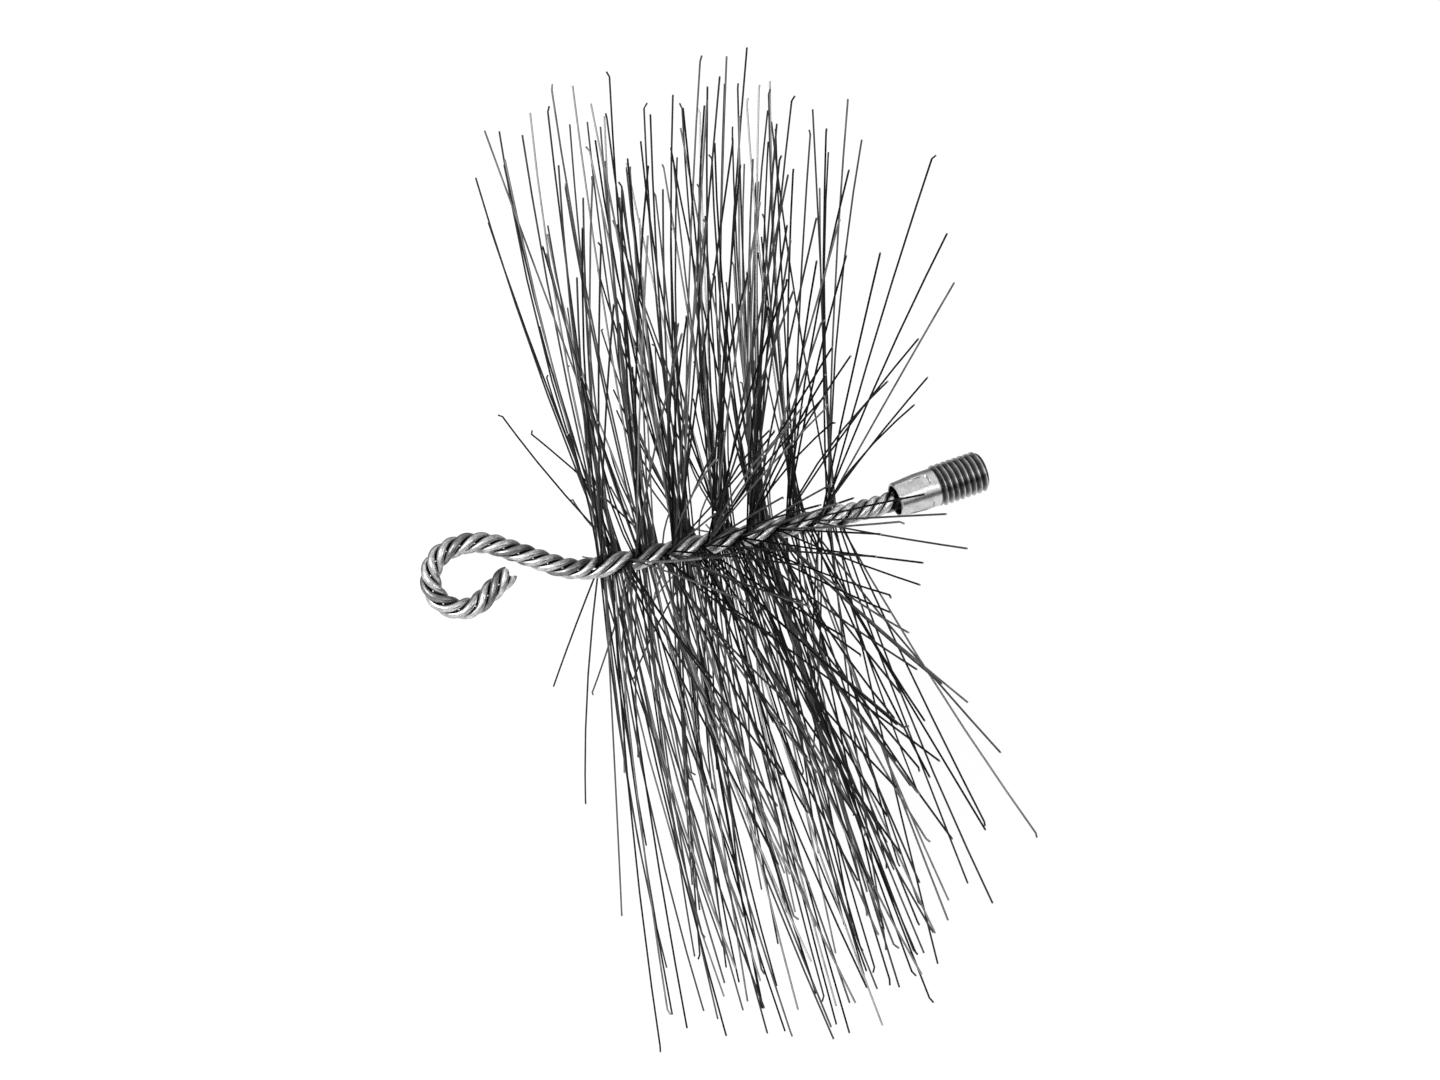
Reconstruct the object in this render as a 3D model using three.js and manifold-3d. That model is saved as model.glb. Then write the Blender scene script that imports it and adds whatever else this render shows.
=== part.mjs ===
// Chimney sweep brush. Four steel wires are twisted together round stiff steel bristles, bent into
// an open eye at one end and crimped into a threaded ferrule at the other.
// Millimetres and degrees, +X along the stem towards the ferrule, +Z up. The brush lies on its bristles.
import * as THREE from "three";
import { mergeVertices } from "three/addons/utils/BufferGeometryUtils.js";
import Module from "manifold-3d";

const wasm = await Module();
wasm.setup();
const rad = THREE.MathUtils.degToRad;

// Core wires
const wireDiameter = 2.2;
const wireGap = 0.1; // left between neighbouring wires
const plainSpacing = 2.69; // between the middles of neighbouring wires, where the wires lie bare
const brushSpacing = 2.5; // the same, between two wires on one side of the bristles
const spreadLength = 4; // over which the wires open to take the bristles
const eyeTwistLength = 17; // length of one full turn of the twist, in each stretch
const brushTwistLength = 21.5;
const ferruleTwistLength = 14.3;
const twistPhase = 15; // turn of the bristles' plane at the middle of the brush
const wireSides = 8;
const stepsPerTurn = 10;

// Route of the stem, which lies in one plane: its straights, and its arcs as radius and turn
const stemLean = 36.7; // of that plane, back from upright
const brushLength = 71;
const neckRadius = 22.5;
const neckTurn = 30;
const neckLength = 16.5;
const crownRadius = 18.2;
const crownTurn = 46.7;
const eyeRadius = 8.35;
const eyeTurn = 195.5;
const tailLength = 11.2;
const plainLength = 0.7;
const bendRadius = 140;
const bendTurn = 6.5;

// Bristles
const bristleDiameter = 0.45;
const bristleReach = 136; // of the longest, from the stem's axis
const bristleVariation = 27; // by which the shortest fall short of that
const bristleWear = 9; // by which all fall short of it at the ferrule's end of the brush
const bristleExcess = 6; // by which those that point straight down are longer
const bristleLayer = 0.44; // thickness of the layer that the wires hold
const bristleLayerWidth = 4.8;
const layerClearance = 0.1; // from the layer to the wires
const sectionGap = 0.3; // between neighbouring sections of the layer
const bristleSpacing = 0.5; // least distance between two bristles, clear of the stem
const rootSpacing = 0.34; // the same, beside the stem
const rootZone = 7; // distance from the axis within which that holds
const restTrim = 0.5; // taken flat off the tips that the brush lies on
const bristlesInSections = [38, 50, 50, 22]; // bristle wires, with an end on both sides of the stem
const leanMean = 4; // lean of the bristles along the stem, towards the ferrule
const leanFacing = -10.5; // added to it for the bristles that face the viewer, and taken behind
const leanRising = 2; // added to it for those that stand up, and taken from those that hang
const leanSpread = 13.5; // most that one bristle differs from its neighbours
const fanSpread = 12; // the same, round the stem
const restFan = 13; // bristles that point this nearly straight down all reach the ground

// Ferrule, with a coarse right-hand thread of 12 mm
const ferruleLength = 27;
const sleeveLength = 12.2;
const threadDiameter = 12;
const threadPitch = 1.75;
const threadChamfer = 1.1;
const sleeveDiameter = 10.86;
const mouthDiameter = 9.9;
const mouthTaper = 7;
const mouthRound = 0.5;
const boreClearance = 0.3; // round the core wires, and beyond their ends
const boreDepth = 22;
const flareDiameter = 8.2; // of the bore at the mouth
const flareDepth = 4;
const drillPoint = 1.9; // depth of the cone at the bottom of the bore
const crimpCount = 4;
const crimpPhase = 57; // turn of the first crimped flat from the stem's upper side
const crimpDepth = 0.5; // below the sleeve, at a flat's end
const crimpTilt = 2.6; // by which a flat goes deeper towards the mouth
const crimpWidth = 3.8;
const crimpLength = 9.8;
const crimpCorner = 1; // radius of the corners at a flat's end
const crimpCornerSegments = 3;
const threadSides = 20;
const sleeveSides = 32;
const boreSides = 20;
const cutOverrun = 1;

// Directions that span the plane of the stem, and the one that it faces
const along = new THREE.Vector3(1, 0, 0);
const across = new THREE.Vector3(0, Math.sin(rad(stemLean)), Math.cos(rad(stemLean)));
const facing = new THREE.Vector3().crossVectors(along, across);
const down = new THREE.Vector3(0, 0, -1);

function straight(length) {
  return { length, turn: 0 };
}

function arc(radius, turn) {
  return { length: radius * Math.abs(rad(turn)), turn: rad(turn) };
}

// The route, outwards from the middle of the brush to each end
const eyeRoute = [
  straight(brushLength / 2),
  arc(neckRadius, neckTurn),
  straight(neckLength),
  arc(crownRadius, -crownTurn),
  arc(eyeRadius, -eyeTurn),
  straight(tailLength),
];
const ferruleRoute = [
  straight(brushLength / 2 + plainLength),
  arc(bendRadius, bendTurn),
  straight(boreDepth - boreClearance),
];

function routeLength(route) {
  return route.reduce((sum, run) => sum + run.length, 0);
}

const eyeEnd = -routeLength(eyeRoute);
const ferruleEnd = routeLength(ferruleRoute);
const ferruleMouth = ferruleEnd - (boreDepth - boreClearance);

// The point and heading at a distance along a route. The chord of an arc points along the mean of
// the headings at its ends.
function follow(route, distance) {
  const place = { x: 0, y: 0, heading: 0 };
  let left = distance;
  for (const { length, turn } of route) {
    const step = Math.min(left, length);
    const turned = (turn * step) / length;
    const chord = turned === 0 ? step : (step * Math.sin(turned / 2)) / (turned / 2);
    place.x += chord * Math.cos(place.heading + turned / 2);
    place.y += chord * Math.sin(place.heading + turned / 2);
    place.heading += turned;
    left -= step;
  }
  return place;
}

// The stem's axis at a distance from the middle of the brush, positive towards the ferrule
function stemAt(distance) {
  const side = distance < 0 ? -1 : 1;
  const { x, y, heading } = follow(distance < 0 ? eyeRoute : ferruleRoute, Math.abs(distance));
  const combine = (a, b) => new THREE.Vector3().addScaledVector(along, a).addScaledVector(across, b);
  return {
    point: combine(side * x, y),
    tangent: combine(Math.cos(heading), side * Math.sin(heading)),
    normal: combine(-side * Math.sin(heading), Math.cos(heading)),
  };
}

// Turns of the twist from the middle of the brush, and the distance at which they are reached
const brushTurns = brushLength / 2 / brushTwistLength;

function turnsAt(distance) {
  const pitch = distance < 0 ? eyeTwistLength : ferruleTwistLength;
  const beyond = Math.abs(distance) - brushLength / 2;
  const turns = beyond < 0 ? Math.abs(distance) / brushTwistLength : brushTurns + beyond / pitch;
  return Math.sign(distance) * turns;
}

function distanceAt(turns) {
  const pitch = turns < 0 ? eyeTwistLength : ferruleTwistLength;
  const beyond = Math.abs(turns) - brushTurns;
  const distance = beyond < 0 ? Math.abs(turns) * brushTwistLength : brushLength / 2 + beyond * pitch;
  return Math.sign(turns) * distance;
}

// The twisted frame of the stem. Bristles leave along out, and the wires lie at both sides along
// over. The twist is left-handed.
function twistAt(distance) {
  const stem = stemAt(distance);
  const angle = rad(twistPhase) - 2 * Math.PI * turnsAt(distance);
  const turned = (extra) =>
    new THREE.Vector3()
      .addScaledVector(stem.normal, Math.cos(angle + extra))
      .addScaledVector(facing, Math.sin(angle + extra));
  return { ...stem, out: turned(0), over: turned(Math.PI / 2) };
}

// One core wire. Its stations are spaced by turn, so that those of the four wires lie side by side.
const wireRadius = (wireDiameter - wireGap) / 2;
const brushOffset = bristleLayer / 2 + layerClearance + wireGap + wireDiameter / 2;

class CoreWire extends THREE.Curve {
  constructor(outSide, overSide) {
    super();
    this.outSide = outSide;
    this.overSide = overSide;
  }

  getPoint(share, target = new THREE.Vector3()) {
    const distance = distanceAt(THREE.MathUtils.lerp(turnsAt(eyeEnd), turnsAt(ferruleEnd), share));
    const { point, out, over } = twistAt(distance);
    const beyond = Math.abs(distance) - brushLength / 2;
    const bareShare = THREE.MathUtils.smoothstep(beyond, 0, spreadLength);
    const outOffset = THREE.MathUtils.lerp(brushSpacing, plainSpacing, bareShare) / 2;
    const overOffset = THREE.MathUtils.lerp(brushOffset, plainSpacing / 2, bareShare);
    return target
      .copy(point)
      .addScaledVector(out, this.outSide * outOffset)
      .addScaledVector(over, this.overSide * overOffset);
  }

  getUtoTmapping(share) {
    return share;
  }
}

function coreWireGeometry(outSide, overSide) {
  const section = new THREE.Shape().absarc(0, 0, wireRadius, 0, 2 * Math.PI);
  return new THREE.ExtrudeGeometry(section, {
    steps: Math.round((turnsAt(ferruleEnd) - turnsAt(eyeEnd)) * stepsPerTurn),
    curveSegments: wireSides / 2,
    extrudePath: new CoreWire(outSide, overSide),
  });
}

function solidOf(geometry) {
  const bare = geometry.clone();
  bare.deleteAttribute("normal");
  bare.deleteAttribute("uv");
  const merged = mergeVertices(bare);
  return new wasm.Manifold(
    new wasm.Mesh({
      numProp: 3,
      vertProperties: new Float32Array(merged.attributes.position.array),
      triVerts: new Uint32Array(merged.index.array),
    }),
  );
}

function geometryOf(solid) {
  const mesh = solid.getMesh();
  const geometry = new THREE.BufferGeometry();
  geometry.setAttribute("position", new THREE.BufferAttribute(mesh.vertProperties, 3));
  geometry.setIndex(new THREE.BufferAttribute(mesh.triVerts, 1));
  return geometry;
}

function meshGeometry(points, triangles) {
  const geometry = new THREE.BufferGeometry().setFromPoints(points);
  geometry.setIndex(triangles.flat());
  return geometry;
}

// Least distance between two bristles, each with a root, a direction and a length
function bristleDistance(one, other) {
  const between = new THREE.Vector3().subVectors(one.root, other.root);
  const cosine = one.direction.dot(other.direction);
  const alongOne = one.direction.dot(between);
  const alongOther = other.direction.dot(between);
  const sineSquared = Math.max(1 - cosine * cosine, Number.EPSILON);
  const clamp = THREE.MathUtils.clamp;
  let atOne = clamp((cosine * alongOther - alongOne) / sineSquared, 0, one.length);
  const atOther = clamp(cosine * atOne + alongOther, 0, other.length);
  atOne = clamp(cosine * atOther - alongOne, 0, one.length);
  between.addScaledVector(one.direction, atOne).addScaledVector(other.direction, -atOther);
  return { distance: between.length(), reach: Math.min(atOne, atOther) };
}

// A bristle's lean along the stem, its turn round it and its length are drawn at random, and drawn
// again until it crosses no other.
const attempts = 400;
const random = THREE.MathUtils.seededRandom;
random(70);

function drawBristle(distance, side) {
  const { point, tangent, out, over } = twistAt(distance);
  const spread = () => random() + random() - 1;
  const tilt = side * (leanFacing * out.dot(facing) + leanRising * out.dot(across));
  const lean = rad(leanMean + tilt + leanSpread * spread());
  const fan = rad(fanSpread * spread());
  const direction = new THREE.Vector3()
    .addScaledVector(out, side * Math.cos(fan) * Math.cos(lean))
    .addScaledVector(over, side * Math.sin(fan) * Math.cos(lean))
    .addScaledVector(tangent, Math.sin(lean));
  const root = point.clone().addScaledVector(out, (side * bristleLayerWidth) / 2);
  const descent = Math.max(direction.dot(down), 0);
  const worn = bristleWear * Math.max((2 * distance) / brushLength, 0);
  const longest = bristleReach + bristleExcess * descent - worn - bristleLayerWidth / 2;
  const free = longest - bristleVariation * random();
  const ground = descent > 0 ? lengthToGround(root, direction) : Infinity;
  const resting = ground < free || descent > Math.cos(rad(restFan));
  return { root, direction, resting, length: resting ? ground : free };
}

function lengthToGround(from, direction) {
  return (bristleReach - restTrim - from.dot(down)) / direction.dot(down);
}

// Corners of a bristle's rod, across the layer and along the stem, as shares of its radius
const rodCornerShares = [
  [-Math.sqrt(3) / 2, -3 / 4],
  [Math.sqrt(3) / 2, -3 / 4],
  [0, 3 / 4],
];
const bristles = [];
let leastDistance = Infinity;
let crossings = 0;

function placeBristle(distance, side) {
  let best = null;
  for (let attempt = 0; attempt < attempts; attempt += 1) {
    const bristle = drawBristle(distance, side);
    let room = Infinity;
    let least = Infinity;
    for (const other of bristles) {
      const gap = bristleDistance(bristle, other);
      const wanted = gap.reach < rootZone ? rootSpacing : bristleSpacing;
      room = Math.min(room, gap.distance / wanted);
      least = Math.min(least, gap.distance);
    }
    if (!best || room > best.room) best = { ...bristle, room, least };
    if (room >= 1) break;
  }
  if (best.room < 1) crossings += 1;
  leastDistance = Math.min(leastDistance, best.least);
  bristles.push(best);
  return best;
}

// One section of the bristles. The core wires hold a flat layer of bristle wires that turns with the
// twist, in cells of one bristle wire. At each cell's outer faces the bristle goes on as a rod of
// three sides. The tips of bristles that reach the ground are cut flat to it.
const sectionPitch = (brushLength + sectionGap) / bristlesInSections.length;

function bristleSectionGeometry(count, index) {
  const start = index * sectionPitch - brushLength / 2;
  const cell = (sectionPitch - sectionGap) / count;
  const corners = [
    [-1, -1],
    [1, -1],
    [1, 1],
    [-1, 1],
  ];
  const points = [];
  const triangles = [
    [0, 2, 1],
    [0, 3, 2],
  ];
  for (let ring = 0; ring <= count; ring += 1) {
    const { point, out, over } = twistAt(start + ring * cell);
    for (const [outSide, overSide] of corners) {
      const corner = point.clone().addScaledVector(out, (outSide * bristleLayerWidth) / 2);
      points.push(corner.addScaledVector(over, (overSide * bristleLayer) / 2));
    }
  }
  for (let ring = 0; ring < count; ring += 1) {
    corners.forEach(([outSide, overSide], corner) => {
      const here = corners.length * ring + corner;
      const next = corners.length * ring + ((corner + 1) % corners.length);
      const face = [here, next, next + corners.length, here + corners.length];
      if (outSide === overSide) addBristle(points, triangles, face, start + (ring + 0.5) * cell, outSide);
      else triangles.push([face[0], face[1], face[2]], [face[0], face[2], face[3]]);
    });
  }
  const top = corners.length * count;
  triangles.push([top, top + 1, top + 2], [top, top + 2, top + 3]);
  return meshGeometry(points, triangles);
}

// Fills a cell's outer face, with the bristle's three-sided rod in its middle
function addBristle(points, triangles, face, distance, side) {
  const { root, direction, resting, length } = placeBristle(distance, side);
  const { tangent, over } = twistAt(distance);
  const radius = bristleDiameter / 2;
  const first = points.length;
  for (const [overShare, alongShare] of rodCornerShares) {
    const base = root.clone().addScaledVector(over, side * radius * overShare);
    points.push(base.addScaledVector(tangent, radius * alongShare));
  }
  for (const base of points.slice(first)) {
    points.push(base.clone().addScaledVector(direction, resting ? lengthToGround(base, direction) : length));
  }
  const [a, b, c, d] = face;
  const [p, q, r, tipP, tipQ, tipR] = [0, 1, 2, 3, 4, 5].map((corner) => first + corner);
  triangles.push([a, b, q], [a, q, p], [b, c, q], [c, r, q], [c, d, r], [d, p, r], [d, a, p]);
  triangles.push([p, q, tipQ], [p, tipQ, tipP], [q, r, tipR], [q, tipR, tipQ]);
  triangles.push([r, p, tipP], [r, tipP, tipR], [tipP, tipQ, tipR]);
}

// A rod with a thread cut along it, longer than needed at both ends. Each column of points climbs by
// one pitch a turn, and the last column is the first, one turn of the thread further on.
function threadedRodSolid(length) {
  const crestShare = 1 / 8; // of the pitch, as the flats of a metric thread are
  const rootShare = 1 / 4;
  const flankShare = (1 - crestShare - rootShare) / 2;
  const depth = ((threadPitch * Math.sqrt(3)) / 2) * (1 - crestShare - rootShare);
  const crest = threadDiameter / 2;
  const corners = [
    { share: 0, radius: crest - depth },
    { share: flankShare, radius: crest },
    { share: flankShare + crestShare, radius: crest },
    { share: 1 - rootShare, radius: crest - depth },
  ];
  const rows = corners.length * Math.ceil(length / threadPitch);
  const points = [];
  const index = new Map();
  const keyOf = (column, row) =>
    column < threadSides ? `${column} ${row}` : `0 ${row + corners.length}`;
  for (let column = 0; column < threadSides; column += 1) {
    const lastRow = column === 0 ? rows + corners.length : rows;
    const angle = (2 * Math.PI * column) / threadSides;
    for (let row = 0; row <= lastRow; row += 1) {
      const { share, radius } = corners[row % corners.length];
      const turns = Math.floor(row / corners.length) + share + column / threadSides;
      index.set(keyOf(column, row), points.length);
      const height = threadPitch * (turns - 1);
      points.push(new THREE.Vector3(radius * Math.cos(angle), radius * Math.sin(angle), height));
    }
  }
  const at = (column, row) => index.get(keyOf(column, row));
  const triangles = [];
  for (let column = 0; column < threadSides; column += 1) {
    for (let row = 0; row < rows; row += 1) {
      const [a, b] = [at(column, row), at(column + 1, row)];
      const [c, d] = [at(column + 1, row + 1), at(column, row + 1)];
      triangles.push([a, b, c], [a, c, d]);
    }
  }
  for (const row of [0, rows]) {
    const rim = [];
    for (let column = 0; column <= threadSides; column += 1) rim.push(at(column, row));
    for (let back = corners.length - 1; back > 0; back -= 1) rim.push(at(0, row + back));
    const height = rim.reduce((sum, point) => sum + points[point].z, 0) / rim.length;
    const centre = points.push(new THREE.Vector3(0, 0, height)) - 1;
    rim.forEach((point, place) => {
      const next = rim[(place + 1) % rim.length];
      triangles.push(row === 0 ? [centre, next, point] : [centre, point, next]);
    });
  }
  return solidOf(meshGeometry(points, triangles));
}

// A body of revolution about Z from [radius, height] pairs, which start and end on the axis
function turnedSolid(profile, sides) {
  const points = profile.map(([radius, height]) => new THREE.Vector2(radius, height));
  return solidOf(new THREE.LatheGeometry(points, sides).rotateX(Math.PI / 2));
}

// A cut for one crimped flat, its rounded end towards the thread
function crimpCutSolid(turn) {
  const half = crimpWidth / 2;
  const outline = new THREE.Shape();
  outline.moveTo(-cutOverrun, -half);
  outline.lineTo(crimpLength - crimpCorner, -half);
  outline.absarc(crimpLength - crimpCorner, crimpCorner - half, crimpCorner, -Math.PI / 2, 0);
  outline.absarc(crimpLength - crimpCorner, half - crimpCorner, crimpCorner, 0, Math.PI / 2);
  outline.lineTo(-cutOverrun, half);
  const cut = new THREE.ExtrudeGeometry(outline, {
    depth: crimpDepth + cutOverrun,
    curveSegments: crimpCornerSegments,
    bevelEnabled: false,
  });
  const standing = new THREE.Matrix4().makeBasis(
    new THREE.Vector3(0, 0, 1),
    new THREE.Vector3(0, 1, 0),
    new THREE.Vector3(-1, 0, 0),
  );
  cut.translate(-crimpLength, 0, -sleeveDiameter / 2 - cutOverrun).rotateY(rad(crimpTilt));
  cut.translate(crimpLength, 0, 0).applyMatrix4(standing);
  return solidOf(cut.rotateZ(turn));
}

// The ferrule stands on its mouth while it is made, then turns to lie along the stem's end.
function ferruleGeometry() {
  const crest = threadDiameter / 2;
  const sleeve = sleeveDiameter / 2;
  const mouth = mouthDiameter / 2;
  const bore = plainSpacing / Math.SQRT2 + wireRadius + boreClearance;
  const threadEnvelope = turnedSolid([
    [0, sleeveLength - cutOverrun],
    [sleeve - cutOverrun, sleeveLength - cutOverrun],
    [crest + cutOverrun, sleeveLength + crest - sleeve + cutOverrun],
    [crest + cutOverrun, ferruleLength - threadChamfer - cutOverrun],
    [crest - threadChamfer, ferruleLength],
    [0, ferruleLength],
  ], threadSides);
  const sleeveBody = turnedSolid([
    [0, 0],
    [mouth - mouthRound, 0],
    [mouth, mouthRound],
    [sleeve, mouthTaper],
    [sleeve, sleeveLength],
    [0, sleeveLength],
  ], sleeveSides);
  const boreCut = turnedSolid([
    [0, -cutOverrun],
    [flareDiameter / 2, -cutOverrun],
    [flareDiameter / 2, 0],
    [bore, flareDepth],
    [bore, boreDepth],
    [0, boreDepth + drillPoint],
  ], boreSides);
  let body = threadedRodSolid(ferruleLength + threadPitch).intersect(threadEnvelope).add(sleeveBody);
  for (let crimp = 0; crimp < crimpCount; crimp += 1) {
    body = body.subtract(crimpCutSolid(rad(crimpPhase) + (2 * Math.PI * crimp) / crimpCount));
  }
  const { point, tangent, normal } = stemAt(ferruleMouth);
  const place = new THREE.Matrix4().makeBasis(normal, facing, tangent).setPosition(point);
  return geometryOf(body.subtract(boreCut)).applyMatrix4(place);
}

const galvanised = new THREE.MeshStandardMaterial({ color: 0x9a9a96, roughness: 0.45, metalness: 0.9 });
const temperedSteel = new THREE.MeshStandardMaterial({ color: 0x3a3a3a, roughness: 0.4, metalness: 0.85 });
const zincPlated = new THREE.MeshStandardMaterial({ color: 0xb4b4b2, roughness: 0.3, metalness: 0.95 });

const brush = new THREE.Group();

function addPiece(name, geometry, material) {
  const mesh = new THREE.Mesh(geometry, material);
  mesh.name = name;
  brush.add(mesh);
}

const wirePlaces = [
  [1, 1],
  [-1, 1],
  [-1, -1],
  [1, -1],
];
wirePlaces.forEach(([outSide, overSide], index) => {
  addPiece(`core_wire_${index + 1}`, coreWireGeometry(outSide, overSide), galvanised);
});
bristlesInSections.forEach((count, index) => {
  addPiece(`bristles_${index + 1}`, bristleSectionGeometry(count, index), temperedSteel);
});
addPiece("threaded_ferrule", ferruleGeometry(), zincPlated);
console.log(`least distance between bristles ${leastDistance.toFixed(2)} mm, crossings ${crossings}`);

// The origin is under the middle of the brush's box, on the ground.
const box = new THREE.Box3().setFromObject(brush, true);
const middle = box.getCenter(new THREE.Vector3());
brush.position.set(-middle.x, -middle.y, -box.min.z);

export default brush;
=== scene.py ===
# %% [markdown]
# # A chimney sweep brush
#
# Four thick steel wires are twisted together into a stem. The twist holds several hundred thin,
# stiff bristle wires, which stand out all round. One end of the stem is bent into an open eye, and
# the other is crimped into a threaded ferrule.
#
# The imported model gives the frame: where each piece is, and how big. Everything here is in metres.

import math
import random

import bmesh
import bpy
from mathutils import Matrix, Vector


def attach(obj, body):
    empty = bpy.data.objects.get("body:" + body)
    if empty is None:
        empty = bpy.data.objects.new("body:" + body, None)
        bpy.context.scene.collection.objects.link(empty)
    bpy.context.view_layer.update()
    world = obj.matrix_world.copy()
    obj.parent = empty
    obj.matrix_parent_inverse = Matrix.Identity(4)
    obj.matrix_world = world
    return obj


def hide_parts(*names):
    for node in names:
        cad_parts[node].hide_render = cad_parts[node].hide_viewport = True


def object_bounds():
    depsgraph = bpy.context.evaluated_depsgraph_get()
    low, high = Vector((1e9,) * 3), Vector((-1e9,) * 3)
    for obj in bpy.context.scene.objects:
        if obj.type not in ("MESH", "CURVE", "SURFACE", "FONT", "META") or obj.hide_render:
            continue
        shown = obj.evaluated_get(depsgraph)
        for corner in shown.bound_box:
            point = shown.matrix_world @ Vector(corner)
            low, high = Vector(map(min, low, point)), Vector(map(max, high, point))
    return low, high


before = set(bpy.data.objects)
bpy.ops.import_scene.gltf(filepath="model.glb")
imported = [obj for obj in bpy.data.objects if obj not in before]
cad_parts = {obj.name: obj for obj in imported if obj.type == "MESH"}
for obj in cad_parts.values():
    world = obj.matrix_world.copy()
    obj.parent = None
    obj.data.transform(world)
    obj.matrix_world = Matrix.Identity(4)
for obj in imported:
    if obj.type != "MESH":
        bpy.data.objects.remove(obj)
cad_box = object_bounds()
MM = 0.001
print("nodes:", ", ".join(sorted(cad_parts)))

# %% [markdown]
# ## The camera
#
# The camera looks down at the brush from the side of the eye, from about a metre away. The lens and
# the distance go together: a longer lens from further away gives the same size but flatter
# perspective. The aim is the point that falls in the middle of the image, and it lies close to the
# middle of the brush, so it is given from there, as seen in the image.

# %% Camera
view_azimuth = math.radians(-19.94)
view_elevation = math.radians(36.25)
view_distance = 1.0
view_lens = 91.1
sensor_width = 36
aim_right = 0.06 * MM
aim_up = 0.33 * MM
view_right = Vector((math.cos(view_azimuth), math.sin(view_azimuth), 0))
view_back = Vector((
    math.sin(view_azimuth) * math.cos(view_elevation),
    -math.cos(view_azimuth) * math.cos(view_elevation),
    math.sin(view_elevation),
))
view_up = view_back.cross(view_right)
brush_middle = Vector((2.4122 * MM, 1.9736 * MM, 135.5 * MM))
aim = brush_middle + aim_right * view_right + aim_up * view_up

camera_data = bpy.data.cameras.new("camera")
camera_data.sensor_width = sensor_width
camera_data.lens = view_lens
camera_data.clip_end = 20
camera = bpy.data.objects.new("camera", camera_data)
camera.location = aim + view_distance * view_back
camera.rotation_euler = (math.pi / 2 - view_elevation, 0, view_azimuth)
bpy.context.scene.collection.objects.link(camera)
bpy.context.scene.camera = camera
print("camera at", [round(value, 3) for value in camera.location])

# %% [markdown]
# ## The line of the stem
#
# Before it was bent, the stem was straight. Now it is a row of straights and arcs that lie in one
# plane, so two lists of runs describe it, outwards from the middle of the brush. A point is found by
# walking along the runs. The chord of an arc points along the mean of the headings at its ends.

# %% Runs of the stem
plane_lean = math.radians(36.7)
stem_along = Vector((1, 0, 0))
stem_across = Vector((0, math.sin(plane_lean), math.cos(plane_lean)))
stem_facing = stem_along.cross(stem_across)
half_brush = 35.5 * MM


def straight(length):
    return length * MM, 0


def arc(radius, turn):
    return radius * MM * abs(math.radians(turn)), math.radians(turn)


eye_runs = [
    straight(35.5), arc(22.5, 30), straight(16.5), arc(18.2, -46.7), arc(8.35, -195.5), straight(11.2),
]
ferrule_runs = [straight(36.2), arc(140, 6.5), straight(21.7)]
eye_end = -sum(length for length, turn in eye_runs)
ferrule_end = sum(length for length, turn in ferrule_runs)
ferrule_mouth = ferrule_end - ferrule_runs[-1][0]
print(f"the stem is {(ferrule_end - eye_end) / MM:.0f} mm long before it is bent")

# %% [markdown]
# At each distance along the stem, a small frame of three directions travels with it: the tangent,
# the normal in the plane of the bends, and the direction that faces the viewer.

# %% Points on the stem
def stem_at(distance):
    side = -1 if distance < 0 else 1
    runs = eye_runs if distance < 0 else ferrule_runs
    x = y = heading = 0
    left = abs(distance)
    for length, turn in runs:
        step = min(left, length)
        turned = turn * step / length
        chord = step if turned == 0 else step * math.sin(turned / 2) / (turned / 2)
        x += chord * math.cos(heading + turned / 2)
        y += chord * math.sin(heading + turned / 2)
        heading += turned
        left -= step
    point = brush_middle + side * x * stem_along + y * stem_across
    tangent = math.cos(heading) * stem_along + side * math.sin(heading) * stem_across
    normal = -side * math.sin(heading) * stem_along + math.cos(heading) * stem_across
    return point, tangent, normal


# %% [markdown]
# ## The twist
#
# The stem is twisted left-handed. Under the bristles the twist is slower than on the bare ends,
# because the bristles hold the wires apart. `out` is the direction in which the bristles leave, and
# `over` is square to it, so the wires lie at both sides along `over`.

# %% Twist of the stem
eye_twist = 17 * MM
brush_twist = 21.5 * MM
ferrule_twist = 14.3 * MM
twist_phase = math.radians(15)


def turns_at(distance):
    beyond = abs(distance) - half_brush
    turns = min(abs(distance), half_brush) / brush_twist
    if beyond > 0:
        turns += beyond / (eye_twist if distance < 0 else ferrule_twist)
    return math.copysign(turns, distance)


def distance_at(turns):
    brush_turns = half_brush / brush_twist
    beyond = abs(turns) - brush_turns
    distance = min(abs(turns), brush_turns) * brush_twist
    if beyond > 0:
        distance += beyond * (eye_twist if turns < 0 else ferrule_twist)
    return math.copysign(distance, turns)


def twist_at(distance):
    point, _, normal = stem_at(distance)
    angle = twist_phase - 2 * math.pi * turns_at(distance)
    out = math.cos(angle) * normal + math.sin(angle) * stem_facing
    over = -math.sin(angle) * normal + math.cos(angle) * stem_facing
    return point, out, over


print(f"the stem has {turns_at(ferrule_end) - turns_at(eye_end):.1f} turns of twist")

# %% [markdown]
# ## One core wire
#
# Each core wire is a round wire that winds round the stem's line. It could be a curve with a bevel,
# but a mesh gives control over its surface. So a circle is made once, and its edges are extruded
# from station to station: every new ring is carried over by the change from one station's frame to
# the next. Two attributes are kept for the finish. One is the place on the wire as if it were still
# straight, so that its drawn grain follows it. The other says how far the surface faces away from
# the stem's line, so that the grooves can be given a painted shade. It drops in front of the
# ferrule, where the wires going into its mouth take the same painted shade.

# %% Line of a core wire
wire_radius = 1.035 * MM
bare_spacing = 2.69 * MM
brush_spacing = 2.5 * MM
brush_offset = 1.52 * MM
spread_length = 4 * MM


def smooth_share(value, length):
    share = min(max(value / length, 0), 1)
    return share * share * (3 - 2 * share)


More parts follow.
